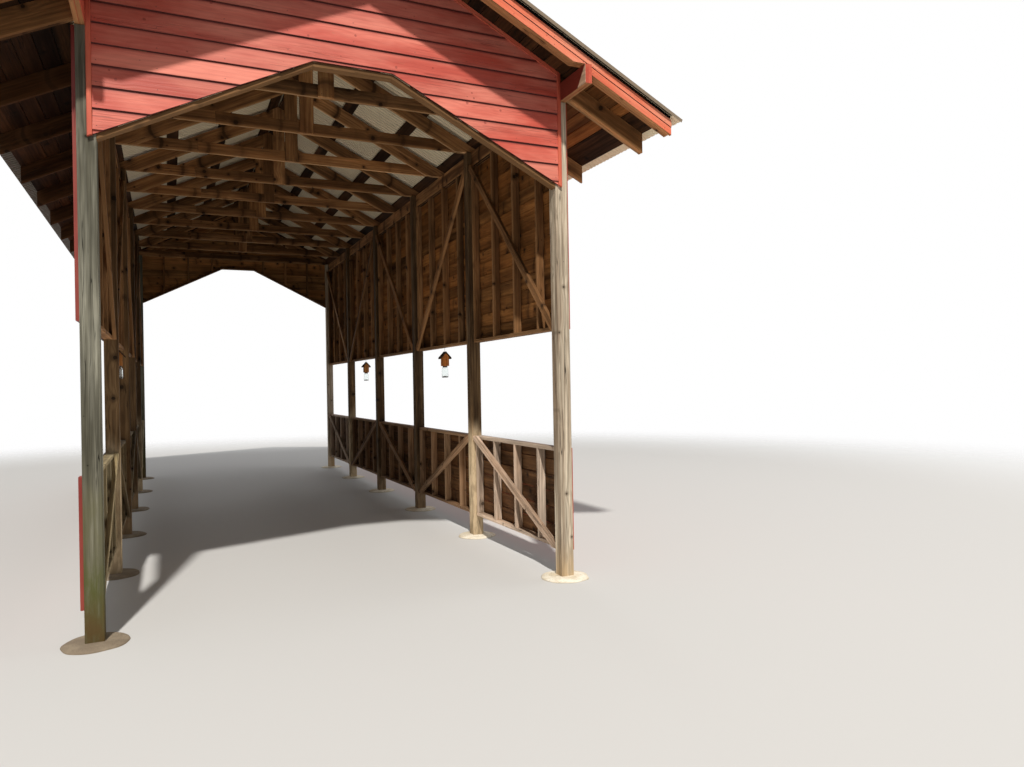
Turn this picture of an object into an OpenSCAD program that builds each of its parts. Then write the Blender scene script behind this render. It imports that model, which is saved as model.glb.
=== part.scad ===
// Timber road bridge with a gabled metal roof, half-open plank walls and arched gable fronts.
// Right means +X, the front gable faces -Y, the road runs along Y, ground level is Z = 0.

/* [Length and width] */
// distance between two wall posts along the road
bay_length = 2438; // [2200:2600]
// number of bays along the road
bay_count = 5; // [3:7]
// width across the outer faces of the posts
span_w = 4410; // [4000:4800]

/* [Posts] */
// side of the square posts
post_w = 140; // [120:160]
// radius of the concrete pad round a post
collar_r = 260; // [200:320]
// height of the concrete pad
collar_h = 28; // [20:40]

/* [Walls] */
// bottom of the low wall above the ground
low_bottom = 280; // [240:380]
// top of the low wall above the ground
low_top = 1338; // [1200:1500]
// bottom of the upper wall above the ground
up_bottom = 2574; // [2400:2700]
// thickness of the lapped boards on the walls
siding_t = 24; // [18:28]
// thickness of sawn framing lumber
lumber_t = 38; // [34:42]
// width of the studs, rails and braces
stud_w = 89; // [80:95]
// first stud of a bay, from the middle of its post
stud_start = 495; // [440:520]
// distance between studs
stud_pitch = 607; // [580:620]

/* [Beams] */
// underside of the wall beams above the ground
beam_bottom = 4915; // [4800:5000]
// height of the wall beams
beam_h = 184; // [170:200]
// thickness of the wall beams, two boards together
beam_t = 76; // [68:84]

/* [Arch] */
// height of the arch springing at the posts
spring_z = 4060; // [3960:4160]
// half width of the flat top of the arch
arch_flat = 360; // [280:440]
// width of the boards that line the arch
soffit_w = 89; // [70:130]

/* [Roof] */
// rise of the roof for a run of one
roof_pitch = 0.5; // [0.47:0.01:0.53]
// rafter end beyond the outer face of the posts
eave_out = 918; // [800:1000]
// rake boards beyond the front face of the end posts
rake_out = 530; // [450:600]
// height of the rafters
rafter_h = 184; // [170:190]
// width of the king posts in the middle of the trusses
king_w = 165; // [140:185]
// height of the truss chords
chord_h = 140; // [120:150]
// width of the purlin boards
purlin_w = 155; // [130:160]
// thickness of the purlin boards
purlin_t = 34; // [25:38]
// distance between purlins, measured level
purlin_pitch = 690; // [640:720]
// depth of the roofing ribs
metal_t = 18; // [14:24]
// roofing beyond the rafter ends
metal_out = 127; // [100:150]

/* [Bee houses] */
// width of a bee house body
bee_w = 96; // [84:120]
// height of a bee house body below the eaves
bee_h = 125; // [110:150]
// outside diameter of a jar
jar_d = 96; // [84:104]
// height of a jar below its house
jar_h = 172; // [140:180]

/* [Hidden] */
$fn = 48;
green_grey = [0.50, 0.49, 0.38];
concrete = [0.70, 0.67, 0.60];
raw_wood = [0.42, 0.28, 0.17];
barn_red = [0.66, 0.22, 0.16];
tan_metal = [0.62, 0.54, 0.44];
clear_jar = [0.75, 0.80, 0.80];

half_w = span_w / 2;
post_in = half_w - post_w;
run = bay_length * bay_count;
end_y = run / 2 + post_w / 2;
clear_bay = bay_length - post_w;
// wall boards stop short of the front faces of the end posts
siding_back = 40;
siding_y = end_y - siding_back;
stud_in = half_w - stud_w;
brace_in = stud_in - lumber_t;
beam_in = half_w - beam_t;
beam_top = beam_bottom + beam_h;
stud_last = bay_length - post_w / 2 - lumber_t / 2;
low_start = stud_start + 60;

roof_a = atan(roof_pitch);
rafter_v = rafter_h / cos(roof_a);
tail_x = half_w + eave_out;
// plumb height of rafter above the beam's outer corner
seat_v = 56;
rafter_seat = beam_top + seat_v;
ridge_z = rafter_seat + roof_pitch * half_w;
purlin_v = purlin_t / cos(roof_a);
metal_v = metal_t / cos(roof_a);
metal_x = tail_x + metal_out;
rake_y = end_y + rake_out;
board_t = 19;
fly_y = rake_y - 2 * board_t;
rake_drop = 4;
rake_x = tail_x + 16;
// the doubled outermost rafters are lower than the others
fly_v = 140 / cos(roof_a);
fly_t = 2 * lumber_t;
rake_h = fly_v - rake_drop;
shadow_h = 75;
metal_y = rake_y + 42;
truss_pitch = bay_length / 2;
truss_count = bay_count * 2;
purlin_first = 77;
// boards side by side over the eaves, then a wide one flush with the rafter ends
board_gap = 5;
eave_boards = 4;
eave_x = tail_x - 347;
purlin_reach = purlin_w * cos(roof_a);
eave_pitch = purlin_reach + board_gap;
edge_in = eave_x + eave_pitch - purlin_reach / 2;
edge_w = (tail_x - edge_in) / cos(roof_a);
purlin_last = eave_x - (eave_boards - 1) * eave_pitch - purlin_w;
purlin_rows = floor((purlin_last - purlin_first) / purlin_pitch) + 1;
purlin_y = rake_y - 8;
eave_in = eave_x - (eave_boards - 1) * eave_pitch - purlin_reach / 2;
overhang_y = end_y - lumber_t;
// half of the joint where two boards meet
joint = 0.5;
cap_w = 170;
cap_t = 6;
trim_t = 4;
trim_face = 46;
trim_leg = 80;
// gable siding over the edge of the post
siding_lap = 26;
trim_x = post_in + siding_lap;
trim_out = siding_t + 10;
// plumb height of the frieze boards under the roof
frieze_v = 46;
bee_x = half_w - stud_w / 2;
// side, place along the road and gap under the wall of each bee house
bee_spots = [[1, -2450, 60], [1, 2400, 50], [-1, -1900, 15], [-1, 2400, 30]];
// rise and half width of a bee house roof, and its boards measured plumb
bee_roof_h = 90;
bee_roof_x = 82;
bee_roof_v = 22;
bee_roof_slope = bee_roof_h / bee_roof_x;
bee_depth = 100;
bee_roof_out = 12;
shoulder_h = 26;
lid_h = 20;
lid_r = 35;
hook_d = 6;
// first gable stud from the middle, and the distance to the next
gable_stud_x = 560;
gable_stud_pitch = 520;

// height of the rafter top over a point at distance x from the middle
function top_z(x) = ridge_z - roof_pitch * x;
function spring_at(x) = spring_z + (post_in - x) * arch_slope;
arch_slope = (beam_bottom - spring_z) / (post_in - arch_flat);
lining_v = lumber_t / cos(atan(arch_slope));

// profile in the XZ plane, drawn from front y0 to back y1
module slab_xz(points, y0, y1) {
  translate([0, y1, 0])
    rotate([90, 0, 0])
      linear_extrude(height = y1 - y0)
        polygon(points);
}

module both_ends() {
  children();
  mirror([0, 1, 0])
    children();
}

module both_sides() {
  children();
  mirror([1, 0, 0])
    children();
}

// one child per post of a side
module at_posts() {
  for (i = [0 : bay_count])
    translate([0, i * bay_length - run / 2, 0])
      children();
}

// one child per bay, placed at the middle of its first post
module at_bays(first = 0, step = 1) {
  for (i = [first : step : bay_count - 1])
    translate([0, i * bay_length - run / 2, 0])
      children();
}

// Posts, notched on the outside for the beam, and their concrete pads
module posts() {
  at_posts()
    difference() {
      translate([post_in, -post_w / 2, 0])
        cube([post_w, post_w, beam_top]);
      translate([beam_in, -post_w, beam_bottom])
        cube([2 * beam_t, 2 * post_w, 2 * beam_h]);
    }
}

module collar() {
  difference() {
    cylinder(h = collar_h, r1 = collar_r, r2 = collar_r * 0.8);
    translate([-post_w / 2, -post_w / 2, -1])
      cube([post_w, post_w, collar_h + 2]);
  }
}

module post_collars() {
  color(concrete)
    both_sides()
      at_posts()
        translate([half_w - post_w / 2, 0, 0])
          collar();
}

module right_posts() {
  color(green_grey)
    posts();
}

module left_posts() {
  color(green_grey)
    mirror([1, 0, 0])
      posts();
}

// Beams on the posts, running out to carry the rake boards
module beam() {
  translate([beam_in, -rake_y, beam_bottom])
    cube([beam_t, 2 * rake_y, beam_h]);
}

module right_beam() {
  color(raw_wood)
    beam();
}

module left_beam() {
  color(raw_wood)
    mirror([1, 0, 0])
      beam();
}

// A flat rail between every two posts
module rail(z) {
  at_bays()
    translate([stud_in, post_w / 2, z])
      cube([stud_w, clear_bay, lumber_t]);
}

// Studs of every bay between two heights
module studs(start, z0, z1) {
  at_bays() {
    for (k = [0 : 2])
      translate([stud_in, start + k * stud_pitch - lumber_t / 2, z0])
        cube([stud_w, lumber_t, z1 - z0]);
    translate([stud_in, post_w / 2, z0])
      cube([stud_w, lumber_t, z1 - z0]);
    translate([stud_in, stud_last - lumber_t / 2, z0])
      cube([stud_w, lumber_t, z1 - z0]);
  }
}

// A flat diagonal board from corner to corner of one bay
module brace(z0, z1, rising) {
  rise = z1 - z0;
  slope = atan(rise / clear_bay);
  reach = clear_bay + rise;
  intersection() {
    translate([brace_in, post_w / 2, z0])
      cube([lumber_t, clear_bay, rise]);
    translate([brace_in, bay_length / 2, (z0 + z1) / 2])
      rotate([rising ? slope : -slope, 0, 0])
        translate([0, -reach / 2, -stud_w / 2])
          cube([lumber_t, reach, stud_w]);
  }
}

// Diagonals that change direction from bay to bay
module braces(z0, z1, rising_first) {
  at_bays(0, 2)
    brace(z0, z1, rising_first);
  at_bays(1, 2)
    brace(z0, z1, !rising_first);
}

// A sheet of boards on the outside of the posts
module wall_siding(z0, z1) {
  translate([half_w, -siding_y, z0])
    cube([siding_t, 2 * siding_y, z1 - z0]);
}

// Upper walls
module right_upper_plates() {
  color(raw_wood)
    rail(up_bottom);
}

module left_upper_plates() {
  color(raw_wood)
    mirror([1, 0, 0])
      rail(up_bottom);
}

module right_upper_studs() {
  color(raw_wood)
    studs(stud_start, up_bottom + lumber_t, beam_bottom);
}

module left_upper_studs() {
  color(raw_wood)
    mirror([1, 0, 0])
      studs(stud_start, up_bottom + lumber_t, beam_bottom);
}

module right_upper_braces() {
  color(raw_wood)
    braces(up_bottom, beam_bottom, true);
}

module left_upper_braces() {
  color(raw_wood)
    mirror([1, 0, 0])
      braces(up_bottom, beam_bottom, false);
}

module right_upper_siding() {
  color(barn_red)
    wall_siding(up_bottom, beam_bottom);
}

module left_upper_siding() {
  color(barn_red)
    mirror([1, 0, 0])
      wall_siding(up_bottom, beam_bottom);
}

// Low walls
module low_rails() {
  rail(low_bottom);
  rail(low_top - lumber_t);
}

module right_low_rails() {
  color(raw_wood)
    low_rails();
}

module left_low_rails() {
  color(raw_wood)
    mirror([1, 0, 0])
      low_rails();
}

module right_low_studs() {
  color(raw_wood)
    studs(low_start, low_bottom + lumber_t, low_top - lumber_t);
}

module left_low_studs() {
  color(raw_wood)
    mirror([1, 0, 0])
      studs(low_start, low_bottom + lumber_t, low_top - lumber_t);
}

module right_low_braces() {
  color(raw_wood)
    braces(low_bottom, low_top, true);
}

module left_low_braces() {
  color(raw_wood)
    mirror([1, 0, 0])
      braces(low_bottom, low_top, true);
}

module right_low_siding() {
  color(barn_red)
    wall_siding(low_bottom, low_top);
}

module left_low_siding() {
  color(barn_red)
    mirror([1, 0, 0])
      wall_siding(low_bottom, low_top);
}

// Gable fronts with the arched opening
module gable_siding() {
  slab_xz([
    [-trim_x, spring_at(trim_x)],
    [-arch_flat, beam_bottom],
    [arch_flat, beam_bottom],
    [trim_x, spring_at(trim_x)],
    [trim_x, top_z(trim_x)],
    [0, ridge_z],
    [-trim_x, top_z(trim_x)]
  ], -end_y - siding_t, -end_y);
}

module corner_trims() {
  color(barn_red)
    both_ends()
      both_sides()
        slab_xz([
          [trim_x, spring_at(trim_x)],
          [beam_in, spring_at(beam_in)],
          [beam_in, top_z(beam_in)],
          [trim_x, top_z(trim_x)]
        ], -end_y - trim_out, -end_y);
}

// Narrow boards over the top edge of the gable siding
module frieze_boards() {
  color(barn_red)
    both_ends()
      both_sides()
        slab_xz([
          [joint, top_z(joint) - frieze_v],
          [trim_x, top_z(trim_x) - frieze_v],
          [trim_x, top_z(trim_x)],
          [joint, top_z(joint)]
        ], -end_y - trim_out, -end_y - siding_t);
}

// Short studs between the arch lining and the truss chord
module gable_studs() {
  both_sides()
    for (k = [0 : 2]) {
      x = gable_stud_x + k * gable_stud_pitch;
      slab_xz([
        [x, spring_at(x)],
        [x + lumber_t, spring_at(x + lumber_t)],
        [x + lumber_t, beam_top],
        [x, beam_top]
      ], -end_y, -end_y + stud_w);
    }
}

// Boards along the underside of the arch, one level and two sloping
module arch_lining() {
  level_x = arch_flat - joint;
  slope_x = arch_flat + joint;
  slab_xz([
    [-level_x, beam_bottom - lining_v],
    [level_x, beam_bottom - lining_v],
    [level_x, beam_bottom],
    [-level_x, beam_bottom]
  ], -end_y, -end_y + soffit_w);
  both_sides()
    slab_xz([
      [slope_x, spring_at(slope_x) - lining_v],
      [post_in, spring_z - lining_v],
      [post_in, spring_z],
      [slope_x, spring_at(slope_x)]
    ], -end_y, -end_y + soffit_w);
}

module front_gable_siding() {
  color(barn_red)
    gable_siding();
}

module back_gable_siding() {
  color(barn_red)
    mirror([0, 1, 0])
      gable_siding();
}

module front_gable_studs() {
  color(raw_wood)
    gable_studs();
}

module back_gable_studs() {
  color(raw_wood)
    mirror([0, 1, 0])
      gable_studs();
}

module front_arch_lining() {
  color(raw_wood)
    arch_lining();
}

module back_arch_lining() {
  color(raw_wood)
    mirror([0, 1, 0])
      arch_lining();
}

// Front face of the rafters of each truss, the first flush with the end posts
function truss_y(k) = k == 0 ? -end_y : k * truss_pitch - run / 2 - lumber_t;

// One child per truss, the last one turned to face the back
module at_trusses() {
  for (k = [0 : truss_count - 1])
    translate([0, truss_y(k), 0])
      children();
  mirror([0, 1, 0])
    translate([0, -end_y, 0])
      children();
}

// What is cut off level where a board between y0 and y1 rests on the beam
module level_cut(y0, y1) {
  translate([0, y0 - 1, beam_bottom - beam_h])
    cube([half_w, y1 - y0 + 2, 2 * beam_h]);
}

// A rafter of plumb height v and thickness t, cut level over the beam
module rafter(y0, inner, v = rafter_v, t = lumber_t) {
  difference() {
    slope_strip(inner, 0, v, tail_x, y0, y0 + t);
    level_cut(y0, y0 + t);
  }
}

module right_rafters() {
  color(raw_wood)
    at_trusses()
      rafter(0, king_w / 2);
}

module left_rafters() {
  color(raw_wood)
    at_trusses()
      mirror([1, 0, 0])
        rafter(0, king_w / 2);
}

// Height where the roof line clips the ends of the chords
chord_cut = top_z(half_w);
chord_clip_x = (ridge_z - beam_top - chord_h) / roof_pitch;

module truss_chords() {
  color(raw_wood)
    at_trusses()
      slab_xz([
        [-half_w, beam_top],
        [half_w, beam_top],
        [half_w, chord_cut],
        [chord_clip_x, beam_top + chord_h],
        [-chord_clip_x, beam_top + chord_h],
        [-half_w, chord_cut]
      ], lumber_t, 2 * lumber_t);
}

module king_posts() {
  color(raw_wood)
    at_trusses()
      slab_xz([
        [-king_w / 2, beam_top],
        [king_w / 2, beam_top],
        [king_w / 2, top_z(king_w / 2)],
        [0, ridge_z],
        [-king_w / 2, top_z(king_w / 2)]
      ], 0, lumber_t);
}

// Doubled outermost rafters that carry the rake boards, and boards that double the gable tails
module fly_rafters() {
  color(raw_wood)
    both_ends()
      both_sides() {
        rafter(-fly_y, joint, fly_v, fly_t);
        slope_strip(half_w + joint, 0, rafter_v, tail_x, -end_y - lumber_t, -end_y);
      }
}

// A strip that follows the right slope, measured down from the rafter tops
module slope_strip(inner, drop, h, reach, y0, y1) {
  slab_xz([
    [inner, top_z(inner) - drop - h],
    [reach, top_z(reach) - drop - h],
    [reach, top_z(reach) - drop],
    [inner, top_z(inner) - drop]
  ], y0, y1);
}

// Rake boards on both slopes, with a narrow shadow board along the top
module rake_boards() {
  both_sides()
    difference() {
      union() {
        slope_strip(joint, rake_drop, rake_h, rake_x, -fly_y - board_t, -fly_y);
        slope_strip(joint, rake_drop, shadow_h, rake_x, -rake_y, -fly_y);
      }
      level_cut(-rake_y, -fly_y);
    }
}

module front_rake_boards() {
  color(barn_red)
    rake_boards();
}

module back_rake_boards() {
  color(barn_red)
    mirror([0, 1, 0])
      rake_boards();
}

// A board laid flat on the rafters, its middle at distance x, from y0 to y1
module purlin(x, w, y0 = -purlin_y, y1 = purlin_y) {
  translate([x, y0, top_z(x)])
    rotate([0, roof_a, 0])
      translate([-w / 2, 0, 0])
        cube([w, y1 - y0, purlin_t]);
}

// Boarding over the gable overhangs, between the purlins and between the last one and the eaves
module overhang_boards() {
  for (k = [0 : purlin_rows - 1]) {
    inner = purlin_first + k * purlin_pitch + purlin_reach / 2 + joint;
    next = purlin_first + (k + 1) * purlin_pitch - purlin_reach / 2;
    outer = (k < purlin_rows - 1 ? next : eave_in) - joint;
    purlin((inner + outer) / 2, (outer - inner) / cos(roof_a), -purlin_y, -overhang_y);
  }
}

module purlins() {
  for (k = [0 : purlin_rows - 1])
    purlin(purlin_first + k * purlin_pitch, purlin_w);
  for (k = [0 : eave_boards - 1])
    purlin(eave_x - k * eave_pitch, purlin_w);
  purlin((edge_in + tail_x) / 2, edge_w);
  both_ends()
    overhang_boards();
}

module right_purlins() {
  color(raw_wood)
    purlins();
}

module left_purlins() {
  color(raw_wood)
    mirror([1, 0, 0])
      purlins();
}

// Ribbed metal roofing with its edge trims
module roofing() {
  slab_xz([
    [0, ridge_z + purlin_v],
    [metal_x, top_z(metal_x) + purlin_v],
    [metal_x, top_z(metal_x) + purlin_v + metal_v],
    [0, ridge_z + purlin_v + metal_v]
  ], -metal_y, metal_y);
}

module right_roofing() {
  color(tan_metal)
    roofing();
}

module left_roofing() {
  color(tan_metal)
    mirror([1, 0, 0])
      roofing();
}

// Angle strip over the front edge of the roofing on both slopes
module rake_trim() {
  drop = -purlin_v - metal_v - trim_t;
  both_sides()
    union() {
      slope_strip(joint, drop, trim_face, metal_x, -metal_y - trim_t, -metal_y);
      slope_strip(joint, drop, trim_t, metal_x, -metal_y - trim_t, -metal_y + trim_leg);
    }
}

module front_rake_trim() {
  color(tan_metal)
    rake_trim();
}

module back_rake_trim() {
  color(tan_metal)
    mirror([0, 1, 0])
      rake_trim();
}

module ridge_cap() {
  base = purlin_v + metal_v;
  color(tan_metal)
    slab_xz([
      [-cap_w, top_z(cap_w) + base],
      [0, ridge_z + base],
      [cap_w, top_z(cap_w) + base],
      [cap_w, top_z(cap_w) + base + cap_t],
      [0, ridge_z + base + cap_t],
      [-cap_w, top_z(cap_w) + base + cap_t]
    ], trim_leg - metal_y, metal_y - trim_leg);
}

// Eaves height of a bee house that hangs with a gap under the wall
function bee_z(gap) = up_bottom - gap - bee_roof_h;

module bee_house(gap) {
  peak = bee_roof_h - bee_roof_v;
  side_z = peak - bee_roof_slope * bee_w / 2;
  front = -bee_depth / 2;
  // body, cut to the slope of its roof
  slab_xz([
    [-bee_w / 2, -bee_h],
    [bee_w / 2, -bee_h],
    [bee_w / 2, side_z],
    [0, peak],
    [-bee_w / 2, side_z]
  ], front, -front);
  // roof boards
  slab_xz([
    [-bee_roof_x, -bee_roof_v],
    [0, peak],
    [bee_roof_x, -bee_roof_v],
    [bee_roof_x, 0],
    [0, bee_roof_h],
    [-bee_roof_x, 0]
  ], front - bee_roof_out, -front + bee_roof_out);
  // hook up to the wall plate
  translate([0, 0, peak])
    cylinder(h = gap + bee_roof_v, d = hook_d);
}

// Bee houses under the upper walls
module bee_houses() {
  color(raw_wood)
    for (spot = bee_spots)
      translate([spot[0] * bee_x, spot[1], bee_z(spot[2])])
        bee_house(spot[2]);
}

module bee_jar() {
  rotate_extrude()
    polygon([
      [0, -jar_h],
      [jar_d / 2 - 8, -jar_h],
      [jar_d / 2, -jar_h + 10],
      [jar_d / 2, -lid_h - shoulder_h],
      [lid_r, -lid_h],
      [lid_r, 0],
      [0, 0]
    ]);
}

module bee_jars() {
  color(clear_jar)
    for (spot = bee_spots)
      translate([spot[0] * bee_x, spot[1], bee_z(spot[2]) - bee_h])
        bee_jar();
}

post_collars();
right_posts();
left_posts();
right_beam();
left_beam();
right_upper_plates();
left_upper_plates();
right_upper_studs();
left_upper_studs();
right_upper_braces();
left_upper_braces();
right_upper_siding();
left_upper_siding();
right_low_rails();
left_low_rails();
right_low_studs();
left_low_studs();
right_low_braces();
left_low_braces();
right_low_siding();
left_low_siding();
front_gable_siding();
back_gable_siding();
corner_trims();
frieze_boards();
front_gable_studs();
back_gable_studs();
front_arch_lining();
back_arch_lining();
right_rafters();
left_rafters();
truss_chords();
king_posts();
fly_rafters();
front_rake_boards();
back_rake_boards();
right_purlins();
left_purlins();
right_roofing();
left_roofing();
front_rake_trim();
back_rake_trim();
ridge_cap();
bee_houses();
bee_jars();
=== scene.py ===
"""Looks of a covered timber bridge. Lengths are in metres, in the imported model's frame."""
import random
from functools import reduce
from math import asin, atan, atan2, cos, hypot, pi, radians, sin, tan, tau
from types import SimpleNamespace

import bpy
from mathutils import Matrix, Vector


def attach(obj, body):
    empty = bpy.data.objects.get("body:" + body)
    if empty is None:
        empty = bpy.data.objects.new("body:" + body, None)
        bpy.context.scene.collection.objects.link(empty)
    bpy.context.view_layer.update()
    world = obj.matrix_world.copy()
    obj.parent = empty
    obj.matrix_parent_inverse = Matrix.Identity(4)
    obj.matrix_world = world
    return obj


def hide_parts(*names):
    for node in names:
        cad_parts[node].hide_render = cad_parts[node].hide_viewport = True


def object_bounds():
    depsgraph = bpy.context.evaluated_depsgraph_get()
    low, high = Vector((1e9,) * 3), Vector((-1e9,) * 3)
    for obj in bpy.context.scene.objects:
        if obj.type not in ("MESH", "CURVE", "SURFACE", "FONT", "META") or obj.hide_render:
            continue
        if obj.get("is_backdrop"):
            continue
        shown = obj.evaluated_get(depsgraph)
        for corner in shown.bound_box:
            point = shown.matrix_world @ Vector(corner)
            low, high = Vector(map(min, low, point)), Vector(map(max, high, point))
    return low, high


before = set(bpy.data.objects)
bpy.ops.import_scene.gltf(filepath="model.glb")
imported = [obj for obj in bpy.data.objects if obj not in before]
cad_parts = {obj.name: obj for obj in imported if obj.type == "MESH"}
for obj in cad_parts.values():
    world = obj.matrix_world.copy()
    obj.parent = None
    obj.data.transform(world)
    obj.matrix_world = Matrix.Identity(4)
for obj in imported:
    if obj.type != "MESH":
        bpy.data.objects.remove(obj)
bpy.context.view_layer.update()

# Sizes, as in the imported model. _V is a board's height on the slope, measured plumb.
HALF, POST, BAY, BAYS = 2.205, 0.140, 2.438, 5
RUN = BAY * BAYS
END = RUN / 2 + POST / 2
POST_IN = HALF - POST
LUMBER, STUD, SIDING = 0.038, 0.089, 0.024
STUD_IN = HALF - STUD
BRACE_IN = STUD_IN - LUMBER
BEAM_T = 0.076
BEAM_IN = HALF - BEAM_T
# heights of the low wall, of the foot of the upper wall and of the wall beams
LOW_0, LOW_1, UP_0, BEAM_0, BEAM_1 = 0.280, 1.338, 2.574, 4.915, 5.099
# the arch: height of its springing, half its level part, and its rise
SPRING, FLAT, LINING_W = 4.060, 0.360, 0.089
ARCH_K = (BEAM_0 - SPRING) / (POST_IN - FLAT)
ARCH_A = atan(ARCH_K)
ROOF_K = 0.5
ROOF_A = atan(ROOF_K)
ROOF_COS = cos(ROOF_A)
RIDGE, TAIL = 6.2575, 3.123
RAFTER_V = 0.184 / ROOF_COS
KING, CHORD_H = 0.165, 0.140
FLY_V = 0.140 / ROOF_COS
RAKE_Y = END + 0.530
BOARD = 0.019
FLY_Y = RAKE_Y - 2 * BOARD
PURLIN_W, PURLIN_T, PURLIN_Y = 0.155, 0.034, RAKE_Y - 0.008
PURLIN_V = PURLIN_T / ROOF_COS
METAL_X, METAL_Y, METAL_T = TAIL + 0.127, RAKE_Y + 0.042, 0.012
TRIM_X, TRIM_LEG = POST_IN + 0.026, 0.080
# lap boards: thickness, distance of the lower edge from the wall, and overlap
LAP_T, LAP_FOOT, LAP = 0.0145, 0.0145, 0.025
# eased edges, and what boards stand back from a line where they meet
BEVEL, JOINT, GAP = 0.003, 0.0005, 0.001

X, Y, Z = Vector((1, 0, 0)), Vector((0, 1, 0)), Vector((0, 0, 1))
SIDES = ((1, "right"), (-1, "left"))
GABLES = ((-1, "front"), (1, "back"))
CORNERS = [(f, s) for f in (-1, 1) for s in (1, -1)]
POST_YS = [i * BAY - RUN / 2 for i in range(BAYS + 1)]
TRUSS_YS = [-END] + [k * BAY / 2 - RUN / 2 - LUMBER for k in range(1, 2 * BAYS)]
# front face of the rafters of each truss and the way to its chord
TRUSSES = [(y, 1) for y in TRUSS_YS] + [(END, -1)]


def vec(*xyz):
    return Vector(xyz)


def turns(steps):
    """Angles all round."""
    return [i * tau / steps for i in range(steps)]


def roof(x):
    """Height of the rafter tops at distance x from the middle."""
    return RIDGE - ROOF_K * abs(x)


def arch(x):
    """Height of the arched opening at distance x from the middle."""
    return min(BEAM_0, SPRING + (POST_IN - abs(x)) * ARCH_K)


def band(line, x0, x1, low, high=0.0):
    """The outline from x0 to x1 that lies between low and high below a line."""
    return [(x0, line(x0) - low), (x1, line(x1) - low), (x1, line(x1) - high), (x0, line(x0) - high)]


def mm(*pairs):
    """A profile given in millimetres."""
    return [(p / 1000, q / 1000) for p, q in pairs]


def clip(points, a, b, limit):
    """The part of an outline where a * p + b * q is at most limit."""
    kept = []
    for (p0, q0), (p1, q1) in zip(points, points[1:] + points[:1]):
        d0, d1 = a * p0 + b * q0 - limit, a * p1 + b * q1 - limit
        if d0 <= 0:
            kept.append((p0, q0))
        if d0 * d1 < 0:
            t = d0 / (d0 - d1)
            kept.append((p0 + (p1 - p0) * t, q0 + (q1 - q0) * t))
    return kept


def inset(points, by):
    """An anticlockwise outline moved inwards."""
    moved = []
    for i, (p, q) in enumerate(points):
        (p0, q0), (p2, q2) = points[i - 1], points[(i + 1) % len(points)]
        l0, l1 = hypot(p - p0, q - q0), hypot(p2 - p, q2 - q)
        n0, n1 = (-(q - q0) / l0, (p - p0) / l0), (-(q2 - q) / l1, (p2 - p) / l1)
        k = by / max(0.35, 1 + n0[0] * n1[0] + n0[1] * n1[1])
        moved.append((p + (n0[0] + n1[0]) * k, q + (n0[1] + n1[1]) * k))
    return moved


def new_object(name, data):
    obj = bpy.data.objects.new(name, data)
    bpy.context.scene.collection.objects.link(obj)
    return obj


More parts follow.
